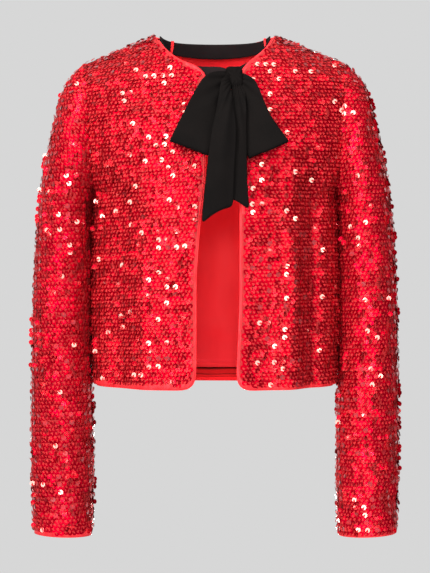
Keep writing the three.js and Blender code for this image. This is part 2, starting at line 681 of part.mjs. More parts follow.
// A hanging end of the bow
function tail(hand) {
  const rows = TAILS[hand];
  const columns = ["leftX", "leftZ", "rightX", "rightZ", "y", "swell"];
  const [leftX, leftZ, rightX, rightZ, depth, swell] = columns.map((name) => between(rows, name));
  const grid = steps(TAIL_STEPS).map((t) => {
    const at = t * (rows.length - 1);
    return steps(TAIL_COLUMNS).map((share) => {
      const x = THREE.MathUtils.lerp(leftX(at), rightX(at), share);
      const cut = THREE.MathUtils.smoothstep(t, TAIL_SCOOP_FROM, 1);
      const scoop = TAIL_SCOOP * cut * Math.sin(Math.PI * share);
      const z = THREE.MathUtils.lerp(leftZ(at), rightZ(at), share) + scoop;
      return new THREE.Vector3(x, depth(at) - swell(at) * Math.sin(Math.PI * share), z);
    });
  });
  const behind = (point) => point.clone().add(new THREE.Vector3(0, TAIL_BACK.behind, -TAIL_BACK.below));
  return wall(`bow_tail_${hand}`, grid, inset(grid, directions(grid, behind, false), THIN_CLOTH), RIBBON);
}

// The whole jacket
const jacket = new THREE.Group();
const back = backGrid();
jacket.add(bodyPanel("back", back), backLining(back), hemFacing(back));
const path = ribbonPath();
jacket.add(neckRibbon(path), knot());
for (const hand of Object.keys(hands)) {
  const front = frontGrid(hand);
  jacket.add(bodyPanel(`front_${hand}`, front), edgeFacing(hand, front), sleeve(hand));
  jacket.add(carrier(hand, path), loop(hand), tail(hand));
}

export default jacket;
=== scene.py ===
"""Looks for a cropped, collarless red sequin jacket in its hollow worn form, with a black ribbon bow.

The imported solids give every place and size. Each cloth piece here is a finer shell on its own solid, and the
sequins are small flat discs that are laid in rows over the outside of the shells. Lengths are in metres
unless a name or a docstring says millimetres. The front faces -Y, and right and left are the wearer's.
"""
from __future__ import annotations

import logging
import math
from dataclasses import dataclass, field
from enum import Enum

import bmesh
import bpy
import numpy as np
from bpy.types import Material, Node, NodeSocket, NodeTree, Object
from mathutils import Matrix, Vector
from mathutils.bvhtree import BVHTree

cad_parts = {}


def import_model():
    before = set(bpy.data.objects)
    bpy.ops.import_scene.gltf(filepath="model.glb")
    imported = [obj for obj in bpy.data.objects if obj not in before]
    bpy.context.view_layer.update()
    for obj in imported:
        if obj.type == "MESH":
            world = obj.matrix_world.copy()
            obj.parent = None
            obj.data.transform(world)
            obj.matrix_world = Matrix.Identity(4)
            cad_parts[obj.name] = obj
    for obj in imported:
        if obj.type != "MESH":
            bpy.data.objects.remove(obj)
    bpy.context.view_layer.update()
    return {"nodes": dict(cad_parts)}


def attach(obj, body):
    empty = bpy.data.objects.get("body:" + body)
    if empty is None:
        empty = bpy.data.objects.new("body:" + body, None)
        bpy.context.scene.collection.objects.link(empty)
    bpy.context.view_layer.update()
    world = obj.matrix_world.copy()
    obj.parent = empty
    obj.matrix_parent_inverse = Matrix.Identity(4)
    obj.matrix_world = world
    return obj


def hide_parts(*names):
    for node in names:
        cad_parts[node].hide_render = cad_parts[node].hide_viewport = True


LOG = logging.getLogger("jacket")
MM = 0.001
BODY = "root"

# How near points are joined, and how far below a place its way out from the axis starts
WELD = 0.00002
AXIS_DROP = 0.02

# The turns at which triangles still make a quad, an edge is sharp or folded, and shading breaks
QUAD_TURN = math.radians(35)
QUAD_SHAPE = math.radians(70)
SHARP = math.radians(55)
FOLDED = math.radians(35)
SHADING_BREAK = math.radians(50)


class Slot(Enum):
    """The pieces' material slots."""

    SEQUIN = "sequin_cloth"
    LINING = "lining"
    RIBBON = "ribbon"


class Side(Enum):
    """Which way a face of a cloth wall looks."""

    OUTSIDE = 0
    INSIDE = 1
    EDGE = 2


def linear(colour: str) -> tuple[float, float, float, float]:
    """Turns an sRGB hex colour into linear values.

    Args:
        colour: six hex digits.

    Returns:
        Red, green, blue and an alpha of one.
    """
    channels = [int(colour[i : i + 2], 16) / 255 for i in (0, 2, 4)]
    straight = [c / 12.92 if c <= 0.04045 else ((c + 0.055) / 1.055) ** 2.4 for c in channels]
    return (*straight, 1.0)


def set_inputs(tree: NodeTree, node: Node, values: dict) -> None:
    """Sets a node's inputs, or links those whose value is a socket.

    Args:
        tree: the node tree that it stands in.
        node: the node.
        values: each input's name or number, with a value or a socket to link from.
    """
    for name, value in values.items():
        if isinstance(value, NodeSocket):
            tree.links.new(value, node.inputs[name])
        else:
            node.inputs[name].default_value = value


def add_node(
    tree: NodeTree,
    kind: str,
    values: dict | None = None,
    stops: tuple[tuple[float, str], ...] = (),
    **settings: object,
) -> Node:
    """Adds one shader node.

    Args:
        tree: the node tree that it joins.
        kind: the node's type name.
        values: each input's name or number, with a value or a socket to link from.
        stops: a colour ramp's places from 0 to 1, each with an sRGB hex colour.
        settings: the node's own properties.

    Returns:
        The new node.
    """
    node = tree.nodes.new(kind)
    for name, value in settings.items():
        setattr(node, name, value)
    set_inputs(tree, node, values or {})
    if stops:
        points = node.color_ramp.elements
        while len(points) < len(stops):
            points.new(0.5)
        for point, (place, colour) in zip(points, stops):
            point.position = place
            point.color = linear(colour)
    return node


def new_material(name: str) -> tuple[Material, NodeTree, Node, NodeSocket]:
    """Makes a material with a Principled shader.

    Args:
        name: the finish's name.

    Returns:
        The material, its node tree, its Principled shader and the socket of its Object coordinates.
    """
    material = bpy.data.materials.new(name)
    material.use_nodes = True
    tree = material.node_tree
    shader = next(node for node in tree.nodes if node.type == "BSDF_PRINCIPLED")
    return material, tree, shader, add_node(tree, "ShaderNodeTexCoord").outputs["Object"]


@dataclass(frozen=True)
class SequinFilm:
    """PET film discs: a deep clear red with a hard gloss, so that they glint where they face a light."""

    light: str = "C4002A"
    deep: str = "930017"
    painted_trough_shade: str = "520006"
    grazing: str = "F02038"
    metal: float = 0.6
    roughness: float = 0.3
    specular: float = 0.05
    covered_gloss: float = 0.04
    gloss_roughness: float = 0.06
    gloss_ior: float = 1.62

    def material(self) -> Material:
        """Makes the film, lighter or deeper from disc to disc at random, darker in the troughs of creases as a
        painted shade, and glossiest on the raised ones.

        Returns:
            The finish.
        """
        material, tree, shader, _ = new_material("red_pet_sequin_film")
        tone = add_node(tree, "ShaderNodeAttribute", attribute_name="tone")
        raised = add_node(tree, "ShaderNodeAttribute", attribute_name="raised")
        # The deepest stop is a painted shade, reached only by discs that a crease's trough darkens
        shades = ((0.0, self.painted_trough_shade), (0.3, self.deep), (1.0, self.light))
        colour = add_node(tree, "ShaderNodeValToRGB", {"Fac": tone.outputs["Fac"]}, shades)
        gloss = add_node(
            tree,
            "ShaderNodeMapRange",
            {"Value": raised.outputs["Fac"], "To Min": self.covered_gloss, "To Max": 1.0},
        )
        values = {
            "Base Color": colour.outputs["Color"],
            "Metallic": self.metal,
            "Roughness": self.roughness,
            "Specular IOR Level": self.specular,
            "Specular Tint": linear(self.grazing),
            "Coat Weight": gloss.outputs["Result"],
            "Coat Roughness": self.gloss_roughness,
            "Coat IOR": self.gloss_ior,
        }
        set_inputs(tree, shader, values)
        return material


@dataclass(frozen=True)
class SewingThread:
    """Matte polyester thread that holds each disc from its hole to its rim."""

    deep: str = "930513"
    light: str = "B70E1E"
    strands_per_metre: float = 900.0
    roughness: float = 0.75

    def material(self) -> Material:
        """Makes the thread, a little lighter and deeper along its strands.

        Returns:
            The finish.
        """
        material, tree, shader, where = new_material("red_polyester_thread")
        noise = add_node(tree, "ShaderNodeTexNoise", {"Vector": where, "Scale": self.strands_per_metre})
        shades = ((0.3, self.deep), (0.7, self.light))
        colour = add_node(tree, "ShaderNodeValToRGB", {"Fac": noise.outputs["Fac"]}, shades)
        set_inputs(tree, shader, {"Base Color": colour.outputs["Color"], "Roughness": self.roughness})
        return material


@dataclass(frozen=True)
class MeshGround:
    """Knitted polyester mesh under the sequins, dull and dark because the discs shade it."""

    deep: str = "7E0716"
    light: str = "AC1122"
    thread_mm: float = 0.9
    roughness: float = 0.8

    def material(self) -> Material:
        """Makes the ground cloth, with the cells of its knitting.

        Returns:
            The finish.
        """
        material, tree, shader, where = new_material("red_knitted_mesh_ground")
        cells = add_node(tree, "ShaderNodeTexVoronoi", {"Vector": where, "Scale": 1000 / self.thread_mm})
        shades = ((0.2, self.deep), (0.8, self.light))
        height = cells.outputs["Distance"]
        colour = add_node(tree, "ShaderNodeValToRGB", {"Fac": height}, shades)
        bump = add_node(tree, "ShaderNodeBump", {"Height": height, "Strength": 0.4, "Distance": 0.0003})
        values = {
            "Base Color": colour.outputs["Color"],
            "Normal": bump.outputs["Normal"],
            "Roughness": self.roughness,
        }
        set_inputs(tree, shader, values)
        return material


# Levels in millimetres across the hem inside the back, each with the shade that its folds give it
HEM_FOLDS = (
    (-457.5, "601010"),
    (-455.6, "8A2424"),
    (-454.8, "FFF4F4"),
    (-450.4, "FFF4F4"),
    (-449.4, "B07878"),
    (-448.4, "D8B8B8"),
    (-446.8, "D0B0B0"),
    (-445.8, "702828"),
    (-444.6, "C8A0A0"),
    (-440.4, "C89898"),
    (-437.8, "300808"),
)


@dataclass(frozen=True)
class SatinLining:
    """Red polyester satin: smooth, with a soft sheen and faint ripples from its easing.

    Attributes:
        name: the finish's name.
        light: the satin's red, painted lighter on its ripples' crests as a painted light.
        deep: the satin's red, painted darker in its ripples' troughs as a painted shade.
        ripple_mm: how far the ripples lie apart across the cloth.
        roughness: how soft its sheen is.
        bands: levels in millimetres with the painted shade of a turned hem's folds, where it has one.
        weave_per_metre: how fine its weave is.
        ripple_stretch: how many ripples come down the cloth for each one across it.
        specular: how strong its sheen is.
        wavers_per_metre: how often the folds of a hem waver.
        waver: how far they waver.
    """

    name: str = "red_polyester_satin"
    light: str = "F42E3C"
    deep: str = "EC2634"
    ripple_mm: float = 24.0
    roughness: float = 0.42
    bands: tuple[tuple[float, str], ...] = ()
    weave_per_metre: float = 2200.0
    ripple_stretch: float = 0.35
    specular: float = 0.08
    wavers_per_metre: float = 22.0
    waver: float = 0.004

    def material(self) -> Material:
        """Makes the satin.

        Returns:
            The finish.
        """
        material, tree, shader, where = new_material(self.name)
        stretch = {"Vector": where, "Scale": (1.0, 1.0, self.ripple_stretch)}
        stretched = add_node(tree, "ShaderNodeMapping", stretch).outputs["Vector"]
        rippling = {"Vector": stretched, "Scale": 1000 / self.ripple_mm, "Detail": 2.0}
        ripple = add_node(tree, "ShaderNodeTexNoise", rippling).outputs["Fac"]
        weaving = {"Vector": where, "Scale": self.weave_per_metre, "Detail": 1.0}
        weave = add_node(tree, "ShaderNodeTexNoise", weaving).outputs["Fac"]
        # Ripple crests are painted lighter and troughs darker, following the bump: a painted light and shade
        shades = ((0.3, self.deep), (0.7, self.light))
        colour = add_node(tree, "ShaderNodeValToRGB", {"Fac": ripple}, shades).outputs["Color"]
        if self.bands:
            colour = self._banded(tree, where, colour)
        broad = add_node(tree, "ShaderNodeBump", {"Height": ripple, "Strength": 0.35, "Distance": 0.002})
        fine = add_node(
            tree,
            "ShaderNodeBump",
            {"Height": weave, "Strength": 0.15, "Distance": 0.0002, "Normal": broad.outputs["Normal"]},
        )
        values = {
            "Base Color": colour,
            "Normal": fine.outputs["Normal"],
            "Roughness": self.roughness,
            "Specular IOR Level": self.specular,
        }
        set_inputs(tree, shader, values)
        return material

    def _banded(self, tree: NodeTree, where: NodeSocket, colour: NodeSocket) -> NodeSocket:
        """Multiplies in the painted shade of a turned hem's folds, which lie level and waver a little.

        Args:
            tree: the material's node tree.
            where: its Object coordinates.
            colour: the cloth's colour so far.

        Returns:
            The banded colour.
        """
        wave = add_node(tree, "ShaderNodeTexNoise", {"Vector": where, "Scale": self.wavers_per_metre})
        split = add_node(tree, "ShaderNodeSeparateXYZ", {"Vector": where})
        terms = {0: wave.outputs["Fac"], 1: self.waver, 2: split.outputs["Z"]}
        waved = add_node(tree, "ShaderNodeMath", terms, operation="MULTIPLY_ADD").outputs["Value"]
        low, high = self.bands[0][0] * MM, self.bands[-1][0] * MM
        level = add_node(tree, "ShaderNodeMapRange", {"Value": waved, "From Min": low, "From Max": high})
        stops = tuple(((place * MM - low) / (high - low), shade) for place, shade in self.bands)
        shade = add_node(tree, "ShaderNodeValToRGB", {"Fac": level.outputs["Result"]}, stops)
        layers = {0: 1.0, 6: colour, 7: shade.outputs["Color"]}
        return add_node(tree, "ShaderNodeMix", layers, data_type="RGBA", blend_type="MULTIPLY").outputs[2]


@dataclass(frozen=True)
class CrepeRibbon:
    """Black polyester crepe: matte, with a fine pebbled surface that catches a little light.

    Attributes:
        name: the finish's name.
        light: its lightest colour.
        deep: its deepest colour.
        pebble_mm: how far its pebbles lie apart.
        clouds_per_metre: how often it turns lighter.
        roughness: how matte it is.
        specular: how much light its pebbles catch.
    """

    name: str = "black_polyester_crepe"
    light: str = "0A090C"
    deep: str = "060609"
    pebble_mm: float = 0.8
    clouds_per_metre: float = 30.0
    roughness: float = 0.85
    specular: float = 0.08

    def material(self) -> Material:
        """Makes the crepe.

        Returns:
            The finish.
        """
        material, tree, shader, where = new_material(self.name)
        pebbling = {"Vector": where, "Scale": 1000 / self.pebble_mm, "Detail": 2.0, "Roughness": 0.6}
        pebble = add_node(tree, "ShaderNodeTexNoise", pebbling).outputs["Fac"]
        cloud = add_node(tree, "ShaderNodeTexNoise", {"Vector": where, "Scale": self.clouds_per_metre})
        shades = ((0.3, self.deep), (0.7, self.light))
        colour = add_node(tree, "ShaderNodeValToRGB", {"Fac": cloud.outputs["Fac"]}, shades)
        bump = add_node(tree, "ShaderNodeBump", {"Height": pebble, "Strength": 0.5, "Distance": 0.0003})
        values = {
            "Base Color": colour.outputs["Color"],
            "Normal": bump.outputs["Normal"],
            "Roughness": self.roughness,
            "Specular IOR Level": self.specular,
        }
        set_inputs(tree, shader, values)
        return material


class Finishes:
    """Every finish of the jacket, made once."""

    def __init__(self) -> None:
        """Makes the materials."""
        self.film = SequinFilm().material()
        self.thread = SewingThread().material()
        self.ground = MeshGround().material()
        self.lining = SatinLining().material()
        # The turned hem's satin carries the painted shade of its folds
        self.hem = SatinLining("turned_red_hem", "FF2634", "F81C2A", 30.0, 0.5, HEM_FOLDS).material()
        self.rim = SatinLining("turned_red_edge", "F8404C", "DE2836", 6.0, 0.5).material()
        self.ribbon = CrepeRibbon().material()
        # The ribbon round the neck is the same crepe painted lighter: a painted light for the shade it lies in
        self.neck_ribbon = CrepeRibbon("black_crepe_painted_lighter_at_neck", "19151A", "131015").material()


def select_none() -> None:
    """Deselects everything."""
    for each in bpy.context.selected_objects:
        each.select_set(False)


def select_only(piece: Object) -> None:
    """Deselects everything, then selects one piece and makes it active.

    Args:
        piece: the piece.
    """
    select_none()
    piece.select_set(True)
    bpy.context.view_layer.objects.active = piece


@dataclass
class Axis:
    """The middle line of a tube of cloth, from which its outside is told from its inside.

    Attributes:
        levels: levels from the lowest up, each with the line's place along X.
    """

    levels: list[tuple[float, float]]

    def at(self, z: float) -> Vector:
        """Finds the point of the line at a level.

        Args:
            z: the level.

        Returns:
            The point.
        """
        zs = [level for level, _ in self.levels]
        xs = [x for _, x in self.levels]
        return Vector((float(np.interp(z, zs, xs)), 0.0, z))


@dataclass(frozen=True)
class Crease:
    """A soft trough or ridge along a line over the cloth, in millimetres.

    Attributes:
        start: where it begins.
        end: where it ends.
        width: how far it spreads to each side.
        rise: how far it stands out, below zero for a trough.
    """

    start: tuple[float, float, float]
    end: tuple[float, float, float]
    width: float
    rise: float

    def height(self, places: np.ndarray) -> np.ndarray:
        """Works out how far the cloth is pushed out.

        Args:
            places: the places in metres, one a row.

        Returns:
            How far each place is pushed out, in metres.
        """
        first = np.array(self.start) * MM
        line = np.array(self.end) * MM - first
        share = np.clip(((places - first) @ line) / (line @ line), 0.0, 1.0)
        away = np.linalg.norm(places - first - share[:, None] * line, axis=1)
        # It is highest half way along and half as high at both ends
        fade = np.sin(math.pi * (0.12 + 0.76 * share)) ** 0.7
        return self.rise * MM * fade * np.exp(-((away / (self.width * MM)) ** 2))


@dataclass(frozen=True)
class Grab:
    """A place where the cloth is taken hold of and moved, as by hand, in millimetres.

    Attributes:
        middle: where it is held.
        radius: how far round that it moves.
        move: how far it is moved.
    """

    middle: tuple[float, float, float]
    radius: float
    move: tuple[float, float, float]

    def shift(self, places: np.ndarray) -> np.ndarray:
        """Works out how the cloth moves.

        Args:
            places: the places in metres, one a row.

        Returns:
            How far each place moves, in metres.
        """
        away = np.linalg.norm(places - np.array(self.middle) * MM, axis=1)
        share = np.exp(-((away / (self.radius * MM)) ** 2))
        return share[:, None] * np.array(self.move)[None, :] * MM


@dataclass
class ClothShell:
    """A fine shell on one solid of the jacket: a merged copy, smoothed, with a finish for each side.

    Attributes:
        node: the solid's name.
        slot: its material slot, which is not used.
        axis: the line that the cloth goes round.
        cut: the flat cut's width and length, which is not used.
        area: the flat cut's area in square metres, which is not used.
        levels: subdivision levels.
        creases: troughs and ridges in the cloth.
        rim: the most that the short side of a face on a turned edge measures.
        edge_facing: how nearly straight out a face of a turned edge looks that still counts as outside.
        neck_reach: how far the neckline lies from the middle at most.
        neck_level: the lowest level of the neckline.
        hem_reach: how far above the lowest point an edge is still a hem.
        low: the level of the lowest point.
        piece: the shell that is made.
    """

    node: str
    slot: Slot
    axis: Axis
    cut: tuple[float, float] | None = None
    area: float | None = None
    levels: int = 2
    creases: tuple[Crease, ...] = ()
    rim: float = 2.2 * MM
    edge_facing: float = 0.35
    neck_reach: float = 78 * MM
    neck_level: float = -75 * MM
    hem_reach: float = 14 * MM
    low: float = field(init=False)
    piece: Object = field(init=False)

    def build(self, solids: dict[str, Object], finishes: list[Material]) -> Object:
        """Makes the shell.

        Args:
            solids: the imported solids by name.
            finishes: the materials for the outside, the inside and the edge.

        Returns:
            The shell.
        """
        source = solids[self.node]
        shell = source.copy()
        shell.data = source.data.copy()
        shell.name = f"{self.node}_cloth"
        shell.parent = None
        for key in list(shell.keys()):
            del shell[key]
        shell.data.materials.clear()
        for finish in finishes:
            shell.data.materials.append(finish)
        bpy.context.scene.collection.objects.link(shell)
        self.piece = shell
        self._merge()
        self._paint_sides()
        self._smooth()
        self.low = min(vertex.co.z for vertex in shell.data.vertices)
        self._widen_edge()
        self._move_points()
        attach(shell, BODY)
        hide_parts(self.node)
        return shell

    def _merge(self) -> None:
        """Joins the copy's loose triangles and turns them back into quads."""
        select_only(self.piece)
        bpy.ops.object.mode_set(mode="EDIT")
        bpy.ops.mesh.select_all(action="SELECT")
        bpy.ops.mesh.remove_doubles(threshold=WELD)
        bpy.ops.mesh.tris_convert_to_quads(face_threshold=QUAD_TURN, shape_threshold=QUAD_SHAPE)
        bpy.ops.mesh.normals_make_consistent(inside=False)
        bpy.ops.object.mode_set(mode="OBJECT")

    def _outwards(self, place: Vector) -> Vector:
        """Returns the way out to a place from the axis."""
        return (place - self.axis.at(place.z - AXIS_DROP)).normalized()

    def _paint_sides(self) -> None:
        """Gives each face the finish of its side or edge, and creases the edges between them."""
        mesh = bmesh.new()
        mesh.from_mesh(self.piece.data)
        mesh.normal_update()
        crease = mesh.edges.layers.float.new("crease_edge")
        for face in mesh.faces:
            facing = face.normal.dot(self._outwards(face.calc_center_median()))
            face.material_index = Side.OUTSIDE.value if facing > 0 else Side.INSIDE.value
            shortest = min(edge.calc_length() for edge in face.edges)
            long_edges = [edge for edge in face.edges if edge.calc_length() > shortest * 1.2]
            sharp = any(edge.calc_face_angle(0.0) > SHARP for edge in long_edges)
            if shortest < self.rim and sharp:
                face.material_index = Side.EDGE.value
        for edge in mesh.edges:
            numbers = {face.material_index for face in edge.link_faces}
            if len(numbers) > 1 and edge.calc_face_angle(0.0) > FOLDED:
                edge[crease] = 1.0
        mesh.to_mesh(self.piece.data)
        mesh.free()

    def _smooth(self) -> None:
        """Subdivides the shell and shades it smooth."""
        select_only(self.piece)
        modifier = self.piece.modifiers.new("rounding", "SUBSURF")
        modifier.levels = self.levels
        modifier.render_levels = self.levels
        bpy.ops.object.modifier_apply(modifier=modifier.name)
        bpy.ops.object.shade_smooth_by_angle(angle=SHADING_BREAK)

    def is_seam(self, place: Vector) -> bool:
        """Says whether an edge at a place would be sewn to another panel and so not be a turned edge."""
        return abs(place.x) > self.neck_reach and place.z > self.low + self.hem_reach

    def _widen_edge(self) -> None:
        """Gives the outside next to a turned edge the edge's finish."""
        mesh = bmesh.new()
        mesh.from_mesh(self.piece.data)
        edge, outside = Side.EDGE.value, Side.OUTSIDE.value
        rim = [face for face in mesh.faces if face.material_index == edge]
        beside = {face for old in rim for vertex in old.verts for face in vertex.link_faces}
        for face in beside:
            if face.material_index == outside and not self.is_seam(face.calc_center_median()):
                face.material_index = edge
        mesh.to_mesh(self.piece.data)
        mesh.free()

    def _move_points(self) -> None:
        """Moves the cloth's points to where its creases put them."""
        mesh = self.piece.data
        places = np.empty(len(mesh.vertices) * 3)
        mesh.vertices.foreach_get("co", places)
        mesh.vertices.foreach_set("co", self._creased(places.reshape(-1, 3)).reshape(-1))
        mesh.update()

    def _creased(self, places: np.ndarray) -> np.ndarray:
        """Pushes both sides of the cloth out or in along its creases.

        Args:
            places: the cloth's points, one a row.

        Returns:
            Their places with the creases.
        """
        if not self.creases:
            return places
        out = places - np.array([self.axis.at(z) for z in places[:, 2]])
        out[:, 2] = 0.0
        out /= np.maximum(np.linalg.norm(out, axis=1)[:, None], 1e-6)
        push = sum(crease.height(places) for crease in self.creases)
        return places + out * push[:, None]

    def declare(
        self,
        held: str = "hung",
        rests_on: tuple[str, ...] = (),
        with_pieces: tuple[Object, ...] = (),
    ) -> None:
        """Logs how many faces the cloth has.

        Args:
            held: how the cloth is held; not used.
            rests_on: the names of what it lies on or hangs from; not used.
            with_pieces: the separate pieces on it; not used.
        """
        LOG.info("%s: %d faces", self.piece.name, len(self.piece.data.polygons))

    def _looks_out(self, face: bmesh.types.BMFace) -> bool:
        """Says whether a face belongs to the outside, or to a turned edge and looks out as well.

        Args:
            face: the face.

        Returns:
            True where it does.
        """
        facing = face.normal.dot(self._outwards(face.calc_center_median()))
        widened = face.material_index == Side.EDGE.value and facing > self.edge_facing
        return face.material_index == Side.OUTSIDE.value or widened

    def outside(self) -> tuple[BVHTree, np.ndarray]:
        """Gathers the outside of the cloth.

        Returns:
            A search tree of the outside faces, and the lowest and highest corners of their box.
        """
        mesh = bmesh.new()
        mesh.from_mesh(self.piece.data)
        mesh.normal_update()
        inner = [face for face in mesh.faces if not self._looks_out(face)]
        bmesh.ops.delete(mesh, geom=inner, context="FACES")
        tree = BVHTree.FromBMesh(mesh)
        points = np.array([vertex.co for vertex in mesh.verts])
        mesh.free()
        return tree, np.array([points.min(axis=0), points.max(axis=0)])


@dataclass
class RibbonShell(ClothShell):
    """A length of the tied ribbon, pulled in under the knot and folded along its length from there.

    Attributes:
        knot: the knot's middle, in millimetres.
        tuck: how much of the way to the knot the nearest cloth is pulled.
        reach: how far from the knot that pull is felt, in millimetres.
        folds: how many folds stand in a full turn about the knot.
        turn: where the first fold stands, in degrees.
        rise: how far the folds stand out, in millimetres.
        run: how far from the knot they fade by two thirds, in millimetres.
        onset: how far from the knot they reach their height, in millimetres.
        grabs: places where the ribbon is pulled about.
    """

    knot: tuple[float, float, float] = (26.0, -91.0, -63.5)
    tuck: float = 0.0
    reach: float = 26.0
    folds: float = 18.0
    turn: float = 0.0
    rise: float = 0.0
    run: float = 60.0
    onset: float = 8.0
    grabs: tuple[Grab, ...] = ()

    def _creased(self, places: np.ndarray) -> np.ndarray:
        """Tucks the cloth under the knot and pushes its folds out.

        Args:
            places: the ribbon's points, one a row.

        Returns:
            Their places with the folds.
        """
        places = super()._creased(places)
        from_knot = places - np.array(self.knot) * MM
        away = np.hypot(from_knot[:, 0], from_knot[:, 2])
        angle = np.arctan2(from_knot[:, 2], from_knot[:, 0])
        fade = np.exp(-away / (self.run * MM)) * np.clip(away / (self.onset * MM), 0.0, 1.0)
        wave = np.cos(self.folds * angle + math.radians(self.turn))
        places[:, 1] -= self.rise * MM * fade * (0.5 + 0.5 * wave)
        pull = self.tuck * np.clip(1.0 - np.linalg.norm(from_knot, axis=1) / (self.reach * MM), 0.0, 1.0)
        places -= from_knot * pull[:, None]
        for grab in self.grabs:
            places += grab.shift(places)
        return places


@dataclass
class SequinCloth:
    """Rows of nearly flat sequins over the outside of one shell.

    Attributes:
        shell: the cloth that carries them.
        thread_turn: which way the threads lie, in degrees from the wearer's down.
        seed: what the small differences between discs are drawn from.
        tone_top: how light the lightest discs are.
        tone_low: how light the deepest discs are.
        along_row: the pitch along a row.
        row_rise: the pitch between rows.
        slope: how far a row rises for each metre towards +X.
        first_closest: the nearest that discs of the main rows lie, as a share of the pitch.
        closest: the nearest that a filling disc lies to another, as a share of the pitch.
        rays: how many rays look for the cloth in a full turn.
        ray_reach: how far from the axis they start.
        gap: the step between two rays' finds at which a row is broken.
        radius: a disc's radius.
        hole: the radius of its hole.
        cup: how far its rim stands above its hole.
        sides: the sides of a disc's outline.
        thread_near: half the thread's width at the hole, and how far behind the middle it starts.
        thread_far: half its width at the rim.
        thread_above: how far it lies above the disc.
        lift: the least height of a disc over the cloth.
        lift_spread: how much higher the highest covered disc lies.
        upper_lift: how much higher the raised discs lie, which are every other one of every other row.
        edge_margin: the bare width beside a turned edge.
        neck_margin: the bare width beside the neckline.
        seam_margin: the bare width beside a seam.
        margin_slack: how far off the cloth a margin may end, as a share of it.
        tilt: how far the covered discs lean on average, in degrees.
        upper_tilt: how far the raised discs lean on average, in degrees.
        scatter: how much the lean of the covered discs varies, in degrees.
        upper_scatter: how much the lean of the raised discs varies, in degrees.
        turn_scatter: how much the turn of the threads varies, in degrees.
        alike: how much of that discs beside each other share.
        shuffle: how far a disc slides from its place.
        standing: how far a standing disc turns from the cloth, in degrees.
        standing_scatter: how much that varies, in degrees.
        standing_share: how many of the places for standing discs have one.
        standing_lift: how much higher it is sewn.
        trough_depth: the depth of a trough whose painted shade would take all its discs' tone.
        trough_shade: the most of their tone that a trough's painted shade takes.
        tree: the cloth's outside, to be searched.
        box: the lowest and highest corners of the outside.
        taken: the places taken so far, by cell.
        sites: each disc's place, normal, row and number.
    """

    shell: ClothShell
    thread_turn: float
    seed: int
    tone_top: float = 1.0
    tone_low: float = 0.3
    along_row: float = 5.6 * MM
    row_rise: float = 4.95 * MM
    slope: float = 0.04
    first_closest: float = 0.62
    closest: float = 0.7
    rays: int = 720
    ray_reach: float = 0.4
    gap: float = 0.02
    radius: float = 3.2 * MM
    hole: float = 0.55 * MM
    cup: float = 0.02 * MM
    sides: int = 12
    thread_near: float = 0.5 * MM
    thread_far: float = 1.8 * MM
    thread_above: float = 0.1 * MM
    lift: float = 0.4 * MM
    lift_spread: float = 0.5 * MM
    upper_lift: float = 1.6 * MM
    edge_margin: float = 8.0 * MM
    neck_margin: float = 12.0 * MM
    seam_margin: float = 0.7 * MM
    margin_slack: float = 0.45
    tilt: float = 8.0
    upper_tilt: float = 2.0
    scatter: float = 9.0
    upper_scatter: float = 12.0
    turn_scatter: float = 14.0
    alike: float = 0.7
    shuffle: float = 0.3 * MM
    standing: float = 62.0
    standing_scatter: float = 6.0
    standing_share: float = 0.3
    standing_lift: float = 1.1 * MM
    trough_depth: float = 3 * MM
    trough_shade: float = 0.9
    tree: BVHTree = field(init=False)
    box: np.ndarray = field(init=False)
    taken: dict[tuple[int, ...], list[Vector]] = field(default_factory=dict)
    sites: list[tuple[Vector, Vector, int, int]] = field(default_factory=list)

    def build(self, finishes: Finishes) -> Object:
        """Lays the discs and joins them into one mesh.

        Args:
            finishes: the jacket's materials.

        Returns:
            The joined sequins.
        """
        self.tree, self.box = self.shell.outside()
        for shift in (0.0, 0.5, 0.25, 0.75):
            self._lay_rows(shift, first=shift == 0.0)
        self._lay_tops()
        piece = self._make(finishes)
        LOG.info("%s: %d sequins", piece.name, len(self.sites))
        return piece

    def _cell(self, place: Vector) -> tuple[int, ...]:
        """Returns the cell of the search grid that holds a place."""
        return tuple(int(math.floor(value / self.along_row)) for value in place)

    def _free(self, place: Vector, near: float) -> bool:
        """Says whether a place is far enough from the discs laid so far.

        Args:
            place: the place.
            near: the least distance.

        Returns:
            True where it is.
        """
        cell = self._cell(place)
        steps = (-1, 0, 1)
        beside = [(cell[0] + x, cell[1] + y, cell[2] + z) for x in steps for y in steps for z in steps]
        return all((other - place).length >= near for key in beside for other in self.taken.get(key, ()))

    def _take(self, place: Vector, normal: Vector, row: int, number: int) -> None:
        """Keeps a place for a disc."""
        self.taken.setdefault(self._cell(place), []).append(place)
        self.sites.append((place, normal, row, number))

    def _clear_of_edge(self, place: Vector, normal: Vector) -> bool:
        """Says whether cloth lies a little way off on all sides: turned edges stay bare, and seams do not.

        Args:
            place: a place on the cloth.
            normal: the cloth's normal there.

        Returns:
            True where it does.
        """
        near_neck = place.z > self.shell.neck_level
        margin = self.neck_margin if near_neck else self.edge_margin
        if self.shell.is_seam(place):
            margin = self.seam_margin
        side = normal.cross(Vector((0.0, 0.0, 1.0)))
        # On level cloth any side will do
        if side.length < 0.05:
            side = Vector((0.0, 1.0, 0.0))
        side.normalize()
        up = side.cross(normal)
        for x, y in ((1, 0), (-1, 0), (0, 1), (0, -1)):
            probe = place + (side * x + up * y) * margin
            found = self.tree.find_nearest(probe)
            if found[0] is None or (found[0] - probe).length > margin * self.margin_slack:
                return False
        return True

